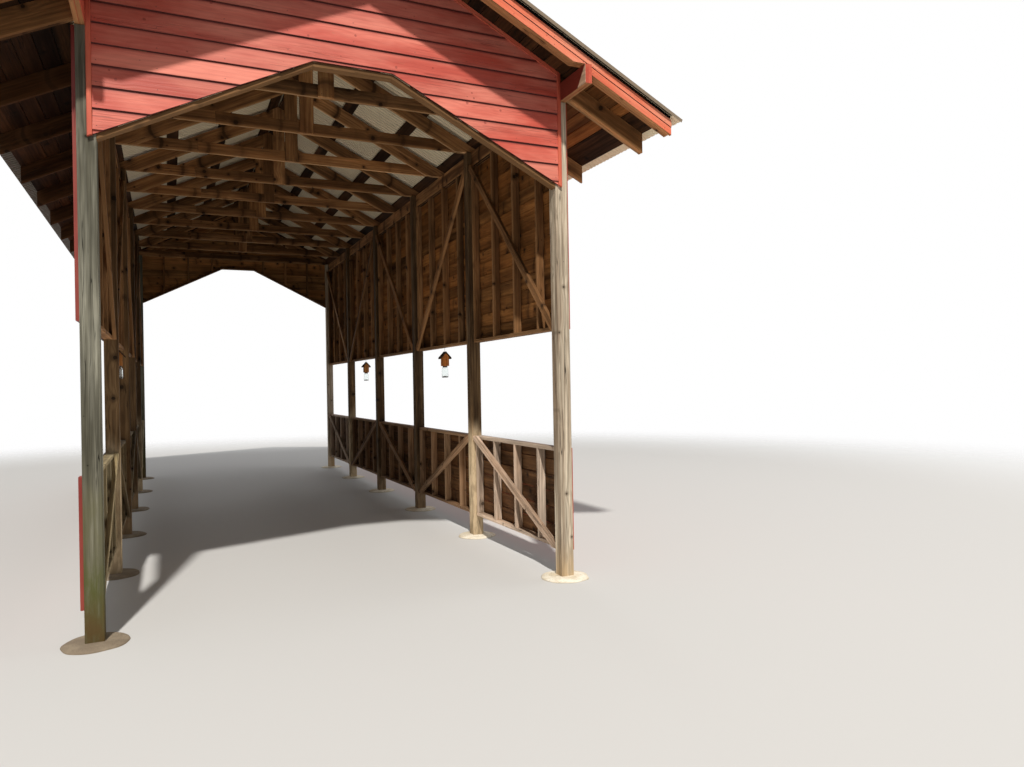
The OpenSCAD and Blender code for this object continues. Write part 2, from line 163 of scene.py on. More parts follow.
class Piece:
    """Many solids of one piece in one mesh, each with its own grain coordinates and tone."""

    def __init__(self, name, materials):
        self.name, self.materials, self.rng = name, materials, random.Random(name)
        self.verts, self.grain, self.place, self.tone = [], [], [], []
        self.faces, self.slots, self.smooth = [], [], []

    def tones(self, length=1.0):
        """One solid's tone, which also carries a length for its material, and the shift of its grain."""
        r = self.rng.random
        return (r(), r(), length), (r() * 40, r() * 40, r() * 40)

    def put(self, point, place, tone, shift):
        self.verts.append(tuple(point))
        self.place.append(tuple(place))
        self.grain.append(tuple(c + s for c, s in zip(place, shift)))
        self.tone.append(tone)

    def face(self, ids, slot, smooth=False):
        self.faces.append(ids)
        self.slots.append(slot)
        self.smooth.append(smooth)

    def prism(self, origin, a, b, c, outline, depth, bevel=BEVEL, slots=0, turn=0.0, under=None, lap=9.0):
        """An outline in the plane of a and b, made depth thick along c, with eased edges.

        slots are the materials of its back, its sides and its front, or one for all, turn is the
        angle of the grain from a, under is the material of the sides that face against b, and lap
        is the height at which the next lap board begins.
        """
        area = sum(p0 * q1 - p1 * q0 for (p0, q0), (p1, q1) in zip(outline, outline[1:] + outline[:1]))
        if abs(area) < 1e-6:
            return
        if area < 0:
            outline = outline[::-1]
        slots = (slots,) * 3 if isinstance(slots, int) else slots
        left_handed = a.cross(b).dot(c) < 0
        small = inset(outline, bevel)
        cu, su = cos(turn), sin(turn)
        low_u = min(p * cu + q * su for p, q in outline)
        low_v = min(-p * su + q * cu for p, q in outline)
        tone, shift = self.tones(lap)
        base, n = len(self.verts), len(outline)
        for ring, d in ((small, 0), (outline, bevel), (outline, depth - bevel), (small, depth)):
            for p, q in ring:
                u, v = p * cu + q * su - low_u, -p * su + q * cu - low_v
                self.put(origin + a * p + b * q + c * d, (u, v, d), tone, shift)

        def add(ids, slot):
            self.face(ids[::-1] if left_handed else ids, slot)

        add([base + i for i in range(n)][::-1], slots[0])
        for i in range(n):
            j = (i + 1) % n
            (p0, q0), (p1, q1) = outline[i], outline[j]
            low_side = under is not None and p1 - p0 > 0.7 * hypot(p1 - p0, q1 - q0)
            for r in range(3):
                k = base + r * n
                add([k + i, k + j, k + n + j, k + n + i], under if low_side and r > 0 else slots[r])
        add([base + 3 * n + i for i in range(n)], slots[2])

    def board(self, origin, a, b, c, length, width, depth, **more):
        """A straight board: length along a, width along b, depth along c."""
        self.prism(origin, a, b, c, [(0, 0), (length, 0), (length, width), (0, width)], depth, **more)

    def upright(self, y, way, outline, depth, s=1, **more):
        """An outline that stands across the road at y, made depth thick towards way, on the side s."""
        self.prism(vec(0, y, 0), X * s, Z, Y * way, outline, depth, **more)

    def head(self, at, axis, slot, *stages):
        """A head on a surface. Each stage has a number of corners and two pairs of radius and height."""
        side = axis.orthogonal().normalized()
        other = axis.cross(side)
        tone, shift = self.tones()
        for n, rings in stages:
            base = len(self.verts)
            for r, h in rings:
                for t in turns(n):
                    point = at + side * cos(t) * r + other * sin(t) * r + axis * h
                    self.put(point, (r, t, h), tone, shift)
            for i in range(n):
                j = (i + 1) % n
                self.face([base + i, base + j, base + n + j, base + n + i], slot)
            self.face([base + n + i for i in range(n)], slot)

    def nail(self, at, axis, slot, radius=0.0045):
        self.head(at, axis, slot, (7, ((radius, 0.0), (radius * 0.8, radius * 0.3))))

    def screw(self, at, axis, slot):
        """A hexagonal head on a washer."""
        self.head(at, axis, slot, (10, ((0.0075, 0.0), (0.0070, 0.0012))), (6, ((0.0045, 0.0012), (0.0042, 0.0045))))

    def skin(self, base, rings, steps, slot):
        """Smooth faces between rings of points, each with as many points as there are steps."""
        for k in range(rings - 1):
            for i in range(steps):
                j = (i + 1) % steps
                p, q = base + k * steps, base + (k + 1) * steps
                self.face([p + i, p + j, q + j, q + i], slot, True)

    def lathe(self, centre, profile, slot, steps):
        """A profile of radius and height pairs turned round an upright axis, from its top inwards."""
        tone, shift = self.tones()
        base = len(self.verts)
        for r, h in profile:
            for t in turns(steps):
                point = centre + vec(r * cos(t), r * sin(t), h)
                self.put(point, (h, t * max(r, 1e-3), r), tone, shift)
        self.skin(base, len(profile), steps, slot)

    def make(self, node, slot="raw_wood"):
        """The visible piece, in place of a node. slot is not used."""
        mesh = bpy.data.meshes.new(self.name)
        mesh.from_pydata(self.verts, [], self.faces)
        mesh.polygons.foreach_set("material_index", self.slots)
        mesh.polygons.foreach_set("use_smooth", self.smooth)
        for name, values in (("grain", self.grain), ("place", self.place), ("tone", self.tone)):
            layer = mesh.attributes.new(name, "FLOAT_VECTOR", "POINT")
            layer.data.foreach_set("vector", [c for v in values for c in v])
        for material in self.materials:
            mesh.materials.append(material)
        mesh.update()
        obj = new_object(self.name, mesh)
        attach(obj, "root")
        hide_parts(node)


class Graph:
    """The nodes of one material or world. Most calls add a node and give its output.

    colour is the material's colour so far, which over and tone change.
    """

    def __init__(self, name, library=bpy.data.materials):
        self.block = library.new(name)
        self.block.use_nodes = True
        self.tree = self.block.node_tree
        self.tree.nodes.clear()
        self.colour = None

    def add(self, kind, inputs, output=0, **settings):
        """A node's output by name or number, or all its outputs for None."""
        node = self.tree.nodes.new("ShaderNode" + kind)
        for key, value in settings.items():
            setattr(node, key, value)
        for key, value in inputs.items():
            socket = node.inputs[key]
            if isinstance(value, bpy.types.NodeSocket):
                self.tree.links.new(value, socket)
            elif socket.type == "RGBA" and len(value) == 3:
                socket.default_value = (*value, 1)
            else:
                socket.default_value = value
        return node.outputs if output is None else node.outputs[output]

    def attribute(self, name):
        return self.add("Attribute", {}, "Vector", attribute_name=name, attribute_type="GEOMETRY")

    def position(self):
        return self.add("NewGeometry", {}, "Position")

    def parts(self, name):
        return self.split(self.attribute(name))

    def split(self, vector):
        return self.add("SeparateXYZ", {0: vector}, None)

    def math(self, operation, a, b=0.0):
        return self.add("Math", {0: a, 1: b}, operation=operation)

    def plus(self, a, b):
        return self.math("ADD", a, b)

    def minus(self, a, b):
        return self.math("SUBTRACT", a, b)

    def times(self, a, b):
        return a if b == 1 else self.math("MULTIPLY", a, b)

    def size(self, a):
        return self.math("ABSOLUTE", a)

    def total(self, *terms):
        """The sum of values, each given with its weight."""
        return reduce(self.plus, [self.times(value, weight) for value, weight in terms])

    def stretch(self, vector, by):
        """A vector times another one, or times one number."""
        by = (by,) * 3 if isinstance(by, float) else by
        return self.add("VectorMath", {0: vector, 1: by}, operation="MULTIPLY")

    def noise(self, vector, by, detail=3.0, roughness=0.55, distortion=0.0):
        return self.add("TexNoise", {"Vector": self.stretch(vector, by), "Scale": 1.0, "Detail": detail,
                                     "Roughness": roughness, "Distortion": distortion})

    def cells(self, dimensions, key, value):
        """The outputs of a Voronoi texture in one or two dimensions."""
        return self.add("TexVoronoi", {key: value, "Scale": 1.0}, None, voronoi_dimensions=dimensions)

    def steps(self, value, low, high, to_low=0.0, to_high=1.0):
        """Smooth change of value from low to high."""
        return self.add("MapRange", {"Value": value, "From Min": low, "From Max": high, "To Min": to_low,
                                     "To Max": to_high}, interpolation_type="SMOOTHSTEP")

    def fall(self, value, low, high, amount=1.0):
        """Smooth fall of an amount to nothing."""
        return self.steps(value, low, high, amount, 0.0)

    def mix(self, factor, a, b):
        return self.add("Mix", {0: factor, 6: a, 7: b}, 2, data_type="RGBA")

    def shade(self, colour, factor):
        """A colour times a number."""
        return self.add("VectorMath", {0: colour, "Scale": factor}, operation="SCALE")

    def over(self, tint, mask, amount=1.0):
        """Lays a tint over the colour."""
        self.colour = self.mix(self.times(mask, amount), self.colour, tint)

    def tone(self, *span):
        """Shades the colour by a value's smooth change, given as for steps."""
        self.colour = self.shade(self.colour, self.steps(*span))

    def finish(self, rough, height=None, depth=0.0, **inputs):
        """The material, with the colour and with a relief where a height is given."""
        inputs = {key.replace("_", " "): value for key, value in inputs.items()}
        if height is not None:
            inputs["Normal"] = self.add("Bump", {"Height": height, "Distance": depth})
        self.output(self.add("BsdfPrincipled", {"Base Color": self.colour, "Roughness": rough, **inputs}))
        return self.block

    def output(self, shader, kind="Material"):
        self.add("Output" + kind, {"Surface": shader}, None)


def paint(code):
    """A screen colour, as a hexadecimal code, turned into linear light."""
    shares = [c / 255 for c in bytes.fromhex(code)]
    return tuple(c / 12.92 if c < 0.04045 else ((c + 0.055) / 1.055) ** 2.4 for c in shares)


def dim(colour, factor):
    return tuple(c * factor for c in colour)


def wood_pattern(g, knots):
    """Streaks, growth rings, fibres, cracks and knots of sawn softwood, from the grain coordinates."""
    grain = g.attribute("grain")
    _, across, through = g.split(grain)
    streak = g.noise(grain, (0.55, 9.0, 9.0), 4.0, 0.6)
    fine = g.noise(grain, (1.3, 46.0, 46.0), 3.0, 0.6)
    fibre = g.noise(grain, (5.0, 240.0, 240.0), 3.0, 0.6)
    # at most one round knot in each cell of the board's wide face
    length, width = 0.42, 0.17
    at = g.stretch(grain, (1 / length, 1 / width, 0.0))
    cell = g.cells("2D", "Vector", at)
    offset = g.add("VectorMath", {0: at, 1: cell["Position"]}, operation="SUBTRACT")
    away = g.add("VectorMath", {0: g.stretch(offset, (length, width, 0.0))}, "Value", operation="LENGTH")
    radius = g.steps(g.split(cell["Color"])[0], 0.35, 1.0, 0.0, 0.024 * knots)
    near = g.math("DIVIDE", away, g.plus(radius, 0.0004))
    near = g.total((near, 1), (g.minus(g.noise(grain, 55.0, 2.0), 0.5), 0.7))
    knot = g.fall(near, 0.80, 1.10)
    halo = g.times(g.fall(near, 1.0, 3.2), g.steps(radius, 0.002, 0.012))
    # the growth rings bend round the knots
    bend = g.times(g.fall(away, 0.0, 0.16), radius)
    phase = g.total((across, 70.0), (streak, 9.0), (bend, 150.0), (through, 42.0))
    wave = g.plus(g.math("SINE", g.times(phase, 2.2)), 1.0)
    ring = g.math("POWER", g.times(wave, 0.5), 2.2)
    line = g.size(g.minus(g.noise(grain, (0.7, 26.0, 26.0), 2.0, 0.5), 0.5))
    patch = g.steps(g.noise(grain, (0.9, 5.0, 5.0), 1.0), 0.50, 0.62)
    crack = g.times(g.fall(line, 0.002, 0.013), patch)
    return SimpleNamespace(grain=grain, streak=streak, fine=fine, fibre=fibre, ring=ring, crack=crack, knot=knot,
                           halo=halo)


def raw_wood(name, light, dark, stain, knots=1.0, crack=0.8, contrast=0.45, spread=0.30, cloud=(0.66, 1.24),
             fine=0.22, edge=0.0, outside=None, spikes=0.0, ends=0.0, low_stain_and_sun=()):
    """Unpainted lumber, from light to dark with the grain, with tones that differ from board to board.

    edge is how much a strip along a board's first edge is lightened to the light colour, a painted highlight where
    light falls on lower and inner edges, outside is a tint beyond the walls, painted shade where it darkens and painted
    light where it brightens, spikes is the depth of dark knots that cross the whole board, ends is painted shade on
    board ends in the recess at the rake, and the last argument lists heights above the ground with the colour
    below them and its amount: real stains, and painted sunlight on the foot of the second posts.
    """
    light, dark, stain = paint(light), paint(dark), paint(stain)
    g = Graph(name)
    w = wood_pattern(g, knots)
    first, second, _ = g.parts("tone")
    across = g.parts("place")[1]
    x, y, z = g.split(g.position())
    g.colour = g.mix(g.steps(w.streak, 0.34, 0.66), dark, light)
    g.over(dark, w.ring, contrast)
    g.over(stain, second, 0.55)
    g.tone(w.fine, 0.34, 0.66, 1 - fine, 1 + fine * 0.7)
    g.tone(w.fibre, 0.2, 0.8, 0.84, 1.13)
    g.tone(first, 0.0, 1.0, 1.0 - spread, 1.0 + spread)
    blotch = g.noise(w.grain, (1.3, 4.0, 4.0), 3.0, 0.6)
    g.tone(blotch, 0.32, 0.68, *cloud)
    # painted highlight: a strip along a board's first edge is lightened towards the light colour
    if edge:
        g.over(light, g.fall(across, 0.004, 0.040, edge))
    # a tint beyond the walls: painted shade where it darkens, painted light where it brightens
    if outside:
        tint = g.mix(g.steps(g.size(x), HALF, HALF + 0.12), (1, 1, 1), outside)
        g.colour = g.stretch(g.colour, tint)
    # painted shade on board ends in the recess at the rake
    if ends:
        g.tone(g.size(y), PURLIN_Y - 0.012, PURLIN_Y - 0.002, 1.0, 1.0 - ends)
    if spikes:
        pitch = 0.50
        arc = g.math("POWER", g.minus(across, 0.075), 2.0)
        cell = g.cells("1D", "W", g.math("DIVIDE", g.total((g.split(w.grain)[0], 1), (arc, 4.0)), pitch))
        reach = g.total((cell["Distance"], pitch), (g.minus(w.streak, 0.5), 0.05))
        some = g.steps(g.split(cell["Color"])[0], 0.20, 0.80, 0.0, spikes)
        g.over(dark, g.fall(reach, 0.015, 0.120, 0.75), some)
        g.over(dim(dark, 0.32), g.fall(reach, 0.010, 0.034, 0.85), some)
    g.over(dim(dark, 0.50), w.halo, 0.55)
    g.over(dim(dark, 0.20), w.knot, 0.85)
    g.over(dim(dark, 0.12), w.crack, crack)
    # pale and dark feet: real stains, and painted sunlight on the foot of the second posts
    if low_stain_and_sun:
        ragged = g.total((z, 1), (blotch, -0.5))
        patchy = g.steps(g.noise(w.grain, (4.0, 16.0, 16.0), 4.0, 0.65), 0.38, 0.60, 0.55, 1.0)
        for level, tint, amount in low_stain_and_sun:
            g.over(paint(tint), g.fall(ragged, level - 0.30, level + 0.1, amount), patchy)
    height = g.total((w.fibre, 0.6), (w.ring, 0.35), (w.fine, 0.8), (w.crack, -1.6), (w.knot, 0.5))
    return g.finish(g.steps(w.streak, 0.2, 0.8, 0.92, 0.72), height, 0.0013, Specular_IOR_Level=0.12)


def painted_wood(name, main, faded, deep, bare="a07656", bare_corner=0.0):
    """Paint on rough boards: grain shows through, the colour fades in patches and flakes off.

    bare_corner is the length of an unpainted corner at the lower end of a board's back.
    """
    main, faded, deep, bare = paint(main), paint(faded), paint(deep), paint(bare)
    g = Graph(name)
    w = wood_pattern(g, 0.6)
    first, _, lap = g.parts("tone")
    along, up, through = g.parts("place")
    patch = g.noise(w.grain, (0.8, 3.0, 3.0), 4.0, 0.6)
    g.colour = g.mix(g.steps(patch, 0.34, 0.70), main, faded)
    g.over(deep, g.steps(w.streak, 0.48, 0.74), 0.22)
    g.over(deep, w.ring, 0.10)
    g.tone(w.fibre, 0.2, 0.8, 0.90, 1.09)
    g.tone(first, 0.0, 1.0, 0.88, 1.10)
    # darker along the lower edge of each board, and painted shadow under the next one's lap
    g.over(deep, g.fall(up, 0.0, 0.012, 0.30))
    under_lap = g.minus(up, lap)
    g.over(deep, g.steps(under_lap, -0.034, -0.010, 0.0, 0.60))
    g.over(dim(deep, 0.35), g.steps(under_lap, -0.015, -0.008, 0.0, 0.85))
    g.over(deep, w.knot, 0.55)
    g.over(dim(deep, 0.25), w.crack, 0.40)
    flake = g.noise(w.grain, (9.0, 70.0, 70.0), 4.0, 0.65)
    worn = g.steps(g.noise(w.grain, (1.5, 7.0, 7.0), 2.0), 0.52, 0.72)
    chip = g.times(g.steps(flake, 0.63, 0.67), worn)
    g.over(bare, chip, 0.75)
    if bare_corner:
        line = g.total((along, 1), (up, 0.85), (flake, 0.03))
        raw = g.shade(bare, g.steps(w.fine, 0.3, 0.7, 0.75, 1.25))
        g.over(raw, g.fall(line, bare_corner, bare_corner + 0.012), g.fall(through, 0.001, 0.004))
    height = g.total((w.fibre, 0.45), (w.ring, 0.35), (w.crack, -1.5), (chip, -0.5))
    return g.finish(g.steps(patch, 0.3, 0.7, 0.46, 0.62), height, 0.0009, Specular_IOR_Level=0.4)


def sheet_metal(name, main, dirt, rough, amount, metallic=0.0, inside=None):
    """Painted sheet steel with dust and streaks that run down the slope.

    inside is for the underside of the roofing: how much darker its ribs are, as painted shade, and its tones beyond the
    left and the right wall, painted shade on the left and painted light on the right.
    """
    dirt = paint(dirt)
    g = Graph(name)
    grain = g.attribute("grain")
    first, _, _ = g.parts("tone")
    streak = g.noise(grain, (0.7, 26.0, 26.0), 4.0, 0.6)
    cloud = g.noise(grain, 2.2, 5.0, 0.6)
    speck = g.noise(grain, 160.0, 2.0, 0.5)
    g.colour = paint(main)
    g.over(dirt, g.times(g.steps(streak, 0.42, 0.72), g.steps(cloud, 0.35, 0.65)), amount)
    g.over(dirt, g.steps(speck, 0.60, 0.72), amount * 0.6)
    g.tone(first, 0.0, 1.0, 0.96, 1.04)
    g.tone(cloud, 0.3, 0.7, 0.94, 1.05)
    if inside:
        ribs, left, right = inside
        x, y, _ = g.split(g.position())
        away = g.size(x)
        # ribs darker: painted shade in the channels
        rise = g.steps(g.parts("place")[2], 0.002, 0.009)
        rise = g.times(rise, g.steps(away, 2.3, 2.7, ribs, ribs * 0.2))
        g.colour = g.shade(g.colour, g.minus(1.0, rise))
        g.tone(x, -2.7, -2.3, left, 1.0)
        g.tone(x, 2.3, 2.7, 1.0, right)
        # painted shade in the recess over the rake boards
        over_rake = g.steps(g.size(y), PURLIN_Y, PURLIN_Y + 0.004)
        g.over(paint("241910"), over_rake, g.fall(away, TAIL + 0.012, TAIL + 0.020, 0.92))
    return g.finish(g.steps(streak, 0.3, 0.7, rough, rough + 0.18), g.total((cloud, 1), (speck, 0.02)), 0.0012,
                    Metallic=metallic, Specular_IOR_Level=0.4)


def cast_concrete():
    """Pale concrete with pits and hair cracks, under soil and leaf litter along the left wall."""
    g = Graph("pad_concrete")
    at = g.position()
    x, _, z = g.split(at)
    sand = g.noise(at, 420.0, 2.0, 0.6)
    cloud = g.noise(at, 7.0, 5.0, 0.62)
    pits = g.steps(g.noise(at, 75.0, 3.0, 0.5), 0.62, 0.70)
    line = g.size(g.minus(g.noise(at, 5.0, 3.0, 0.6, 0.6), 0.5))
    g.colour = g.mix(g.steps(cloud, 0.32, 0.70), paint("daccb2"), paint("faf3e2"))
    g.tone(sand, 0.25, 0.75, 0.88, 1.08)
    g.over(paint("786c5a"), pits, 0.45)
    g.over(paint("605648"), g.fall(line, 0.001, 0.006), 0.45)
    g.over(paint("8c7d64"), g.fall(z, 0.0, 0.012, 0.5))
    litter = g.mix(g.steps(sand, 0.3, 0.7), paint("584a3a"), paint("86745e"))
    g.over(litter, g.fall(x, -1.0, 1.0, 0.92), g.steps(cloud, 0.25, 0.60, 0.75, 1.0))
    return g.finish(0.9, g.total((sand, 0.25), (cloud, 1), (pits, -0.5)), 0.002, Specular_IOR_Level=0.25)


# a near-black material for the bee houses' entrance discs: painted shade in place of holes
def dark_hole():
    g = Graph("drilled_hole")
    g.colour = g.mix(g.noise(g.position(), 500.0, 2.0), paint("140e0a"), paint("2c1e14"))
    return g.finish(0.95)


def clear_glass():
    g = Graph("jar_glass")
    at = g.position()
    g.colour = (0.93, 0.96, 0.95)
    film = g.steps(g.noise(at, (60.0, 60.0, 24.0), 4.0), 0.45, 0.75, 0.02, 0.14)
    return g.finish(film, g.noise(at, 30.0, 2.0), 0.0015, IOR=1.45, Transmission_Weight=1.0)


def jar_lid():
    g = Graph("jar_lid_ring")
    rust = g.noise(g.position(), 90.0, 4.0)
    g.colour = g.mix(g.steps(rust, 0.45, 0.62), paint("5c5852"), paint("583622"))
    return g.finish(g.steps(rust, 0.4, 0.65, 0.32, 0.8), rust, 0.0005, Metallic=0.6)


def jar_residue():
    g = Graph("jar_residue")
    grit = g.noise(g.position(), 260.0, 4.0)
    g.colour = g.mix(g.steps(grit, 0.35, 0.65), paint("2e2116"), paint("705434"))
    return g.finish(0.95, grit, 0.003)


# Materials
roof_look = dict(light="a87c52", dark="583c25", stain="8c5e36", knots=1.2, edge=0.8, spikes=0.9)
roof_wood = raw_wood("roof_lumber", **roof_look)
# the left rafters darken beyond the walls as painted shade, the right ones lighten there as painted light
left_rafter_wood = raw_wood("left_rafter_lumber", outside=(0.24, 0.21, 0.18), **roof_look)
right_rafter_wood = raw_wood("right_rafter_lumber", outside=(1.65, 1.62, 1.55), **roof_look)
# pale lumber for the undersides of chords and right rafters: painted light from below
timber_edge = raw_wood("timber_edges", "d6ac7e", "96704c", "c49668", spread=0.20)
king_wood = raw_wood("king_post_lumber", "b88a5c", "64442a", "98683c", spikes=0.6)
# fly_wood lightens beyond the walls as painted light; left_fly_wood is a darker copy for the left side: painted shade
fly_wood = raw_wood("fly_rafter_lumber", "b8865a", "6c482c", "96623c", spread=0.12, edge=0.35,
                    outside=(1.25, 1.25, 1.25))
left_fly_wood = raw_wood("left_fly_rafter_lumber", "845c38", "422b18", "6e4828", spread=0.12, edge=0.50)

wall_wood = raw_wood("wall_lumber", "a07952", "543b25", "8a5d36", edge=0.35)
# low walls: the end bays' lumber is lighter, partly painted sunlight; the inner bays take a darker copy, painted shade,
# partly less weathered
low_look = dict(spread=0.22, edge=0.35)
low_wood = raw_wood("low_wall_lumber", "d4c0ac", "7e6856", "b49880", **low_look)
left_low_wood = raw_wood("left_low_wall_lumber", "baac8a", "706044", "968460", **low_look)
low_look["edge"] = 0.4
shaded_sheltered_wood = raw_wood("shaded_sheltered_low_wall_lumber", "a48567", "5a422e", "8a6444", **low_look)
left_shaded_sheltered_wood = raw_wood("left_shaded_sheltered_low_wall_lumber", "8c7a5c", "4c3e2a", "746042", **low_look)

# eave boards: ends paints shade on their ends at the rake; shaded_eave_boards is a darker copy for the left eaves:
# painted shade
eave_wood = raw_wood("eave_boards", "8a5c32", "422a16", "8c562a", spread=0.40, ends=0.9)
left_eave_wood = raw_wood("shaded_eave_boards", "382413", "140d07", "3a2210", spread=0.40, ends=0.9)
overhang_wood = raw_wood("overhang_boards", "462e1b", "1e130b", "4a2c16", spread=0.35, ends=0.9)
edge_wood = raw_wood("eave_edge_board", "54361e", "26170c", "58341a", spread=0.15, ends=0.9)

lap_look = dict(contrast=0.25, fine=0.12, spread=0.18, cloud=(0.72, 1.20), spikes=0.55)
lap_wood = raw_wood("lap_board_backs", "96683a", "54371d", "9c6230", **lap_look)
# a lighter copy for the back gable's inner face: painted light
far_lap_wood = raw_wood("far_gable_board_backs", "ac7e4e", "624428", "b07642", **lap_look)
lap_look.update(spread=0.16, cloud=(0.74, 1.20), spikes=0.45)
# the low walls' board backs are a darker copy: painted shade
low_lap_wood = raw_wood("low_lap_board_backs", "64462a", "362414", "603c20", **lap_look)
lining_wood = raw_wood("arch_lining", "846240", "4a3320", "704c2e", spread=0.15, edge=0.5)

post_look = dict(knots=0.5, crack=1.0, contrast=0.50, spread=0.05, fine=0.26)
post_wood = raw_wood("weathered_posts", "d8cbb4", "8e7c68", "b29880", cloud=(0.84, 1.08),
                     low_stain_and_sun=[(0.12, "ceaa76", 0.45)], **post_look)
# a darker copy for the left posts: painted shade, with real algae and soil low down
left_post_wood = raw_wood("shaded_weathered_posts", "969384", "585548", "706e5a", cloud=(0.74, 1.14),
                          low_stain_and_sun=[(1.05, "646144", 0.60), (0.50, "4e5228", 0.85), (0.22, "58442a", 0.85)],
                          **post_look)
# the inner posts are browner: less weathered, and darker as painted shade
inner_look = dict(light="785f42", dark="423121", stain="664c30", knots=1.1, crack=1.0, spread=0.14)
inner_post_wood = raw_wood("shaded_sheltered_posts", low_stain_and_sun=[(0.30, "b09676", 0.55)], **inner_look)
# the second posts' pale foot is painted sunlight
second_post_wood = raw_wood("second_posts_painted_sunlit_foot", low_stain_and_sun=[(1.24, "d0ba98", 0.85)], **inner_look)

red_paint = painted_wood("barn_red_paint", "be4c36", "dc7054", "782418")
# a darker copy for the left walls: painted shade, partly paint that faded less
left_red_paint = painted_wood("shaded_barn_red_paint", "8c2e26", "a84c3e", "581a14", "8c684e")
# paler faded tone for the gables: real fading, partly a painted sheen of sunlight
gable_paint = painted_wood("barn_red_gable", "bc4e3e", "e08470", "74241c")
# brighter, oranger paint for the rakes: fresher paint, partly painted sunlight
rake_paint = painted_wood("barn_red_rake", "f67c58", "faa282", "8c2c1e")
# dark red for the inner face of the right beams' ends: painted shade, with a real unpainted corner
beam_end_paint = painted_wood("barn_red_beam_end", "783022", "8c3e2c", "4c1810", "b0967c", 0.165)
# near-black red for the lower edges of boards: painted shade on faces that look down
red_butt = painted_wood("barn_red_board_edges", "42120e", "541a14", "280a08", "60422e")

nail_steel = sheet_metal("nail_heads", "603e30", "3c2218", 0.55, 0.7)
screw_steel = sheet_metal("screw_heads", "a0927c", "605446", 0.35, 0.4, metallic=0.3)
roof_tan = sheet_metal("roofing_outside", "a6947a", "70624e", 0.42, 0.45)
# the roofing's underside: painted shade in its ribs and on the left eaves, painted light on the right eaves
roof_cream = sheet_metal("roofing_inside", "ded0b2", "968060", 0.45, 0.35, inside=(0.40, 0.17, 1.30))
trim_tan = sheet_metal("trim_metal", "80705d", "5a4b3a", 0.40, 0.40)
concrete = cast_concrete()
bee_body = raw_wood("bee_house_cedar", "ce8c4e", "96582a", "bc743a", knots=0.5, spread=0.12)
bee_roof = raw_wood("bee_house_roof", "523e2e", "281d16", "3e2c1e", knots=0.5, spread=0.12)
hole_dark, glass, lid_metal, residue = dark_hole(), clear_glass(), jar_lid(), jar_residue()

# Posts and pads
notched = [(0, 0), (BEAM_1, 0), (BEAM_1, POST - BEAM_T), (BEAM_0, POST - BEAM_T), (BEAM_0, POST), (0, POST)]
# the right end posts take the lit copy, the left ones the darker copy: painted shade
for s, side in SIDES:
    piece = Piece(side + "_post_timbers", [post_wood if s > 0 else left_post_wood, second_post_wood, inner_post_wood])
    for i, y in enumerate(POST_YS):
        piece.prism(vec(s * POST_IN, y - POST / 2, 0), Z, X * s, Y, notched, POST, 0.005, min(i, BAYS - i))
    piece.make(side + "_posts", "post_wood")

# rings of a pad from its edge inwards, as a share of its radius and a height
PAD_RINGS = ((1.0, 0.0), (0.985, 0.007), (0.93, 0.0145), (0.84, 0.021), (0.72, 0.025), (0.5, 0.027), (0.25, 0.0275))
PAD_R, PAD_R_MOST, PAD_H, PAD_STEPS = 0.250, 0.262, 0.028, 56
piece = Piece("concrete_pads", [concrete])
for s, side in SIDES:
    for y in POST_YS:
        rng = piece.rng
        bumps = [(k, rng.uniform(-1, 1) * 0.010 / k ** 0.5, rng.random() * tau) for k in range(2, 9)]
        base = len(piece.verts)
        tone, shift = piece.tones()
        for k, (share, h) in enumerate(PAD_RINGS):
            for t in turns(PAD_STEPS):
                r = PAD_R + sum(size * cos(n * t + p) for n, size, p in bumps)
                r = min(r, PAD_R_MOST) * share
                lift = h * (1 + 0.05 * sin(3 * t + s + y)) if 0 < k < len(PAD_RINGS) - 1 else h
                at = vec(s * (HALF - POST / 2) + r * cos(t), y + r * sin(t), min(lift, PAD_H))
                piece.put(at, at, tone, shift)
        piece.skin(base, len(PAD_RINGS), PAD_STEPS, 0)
piece.make("post_collars", "concrete")

# Walls
WALL_Y, END_BOARD, END_BOARD_T = END - 0.040, 0.089, 0.030
STUD_PITCH = 0.607
NAIL_UP, NAIL_IN = 0.034, 0.03


def lap_axes(outward, exposure):
    """The axes up and out of a lap board that leans on the one below, and the cosine of its tilt."""
    tilt = asin(LAP_FOOT / (exposure + LAP))
    su, cu = sin(tilt), cos(tilt)
    return outward * -su + Z * cu, outward * cu + Z * su, cu


def lap_wall(piece, s, z0, z1, exposure):
    """Lapped boards on the outer faces of the posts, broken at the posts in turn, between upright boards."""
    for f in (-1, 1):
        piece.board(vec(s * HALF, f * WALL_Y, z0), Z, Y * -f, X * s, z1 - z0, END_BOARD - GAP, END_BOARD_T)
    up, out, lean = lap_axes(X * s, exposure)
    x = s * (HALF + LAP_FOOT)
    course, z = 0, z0
    while z < z1 - 0.01:
        height = min(exposure + LAP, z1 - z) / lean
        breaks = [POST_YS[b] for b in range(1, BAYS) if (b + course) % 2 == 0]
        edges = [END_BOARD - WALL_Y] + breaks + [WALL_Y - END_BOARD]
        for y0, y1 in zip(edges, edges[1:]):
            length = y1 - y0 - 2 * GAP
            # a lower edge that is a little uneven
            count = max(2, round(length / 0.45))
            low = [(length * i / count, piece.rng.uniform(0, 0.0022)) for i in range(count + 1)]
            outline = low + [(length, height), (0, height)]
            # the butts take the near-black edge paint: painted shade
            piece.prism(vec(x, y0 + GAP, z), Y, up, out, outline, LAP_T, 0.0015, (1, 0, 0), under=3, lap=exposure)
            for b in range(round((y1 - y0) / BAY) * 4 + 1):
                nail_y = min(y0 + NAIL_IN + b * BAY / 4, y1 - NAIL_IN)
                piece.nail(vec(x, nail_y, z) + up * NAIL_UP + out * LAP_T, out, 2, 0.004)
        z += exposure
        course += 1


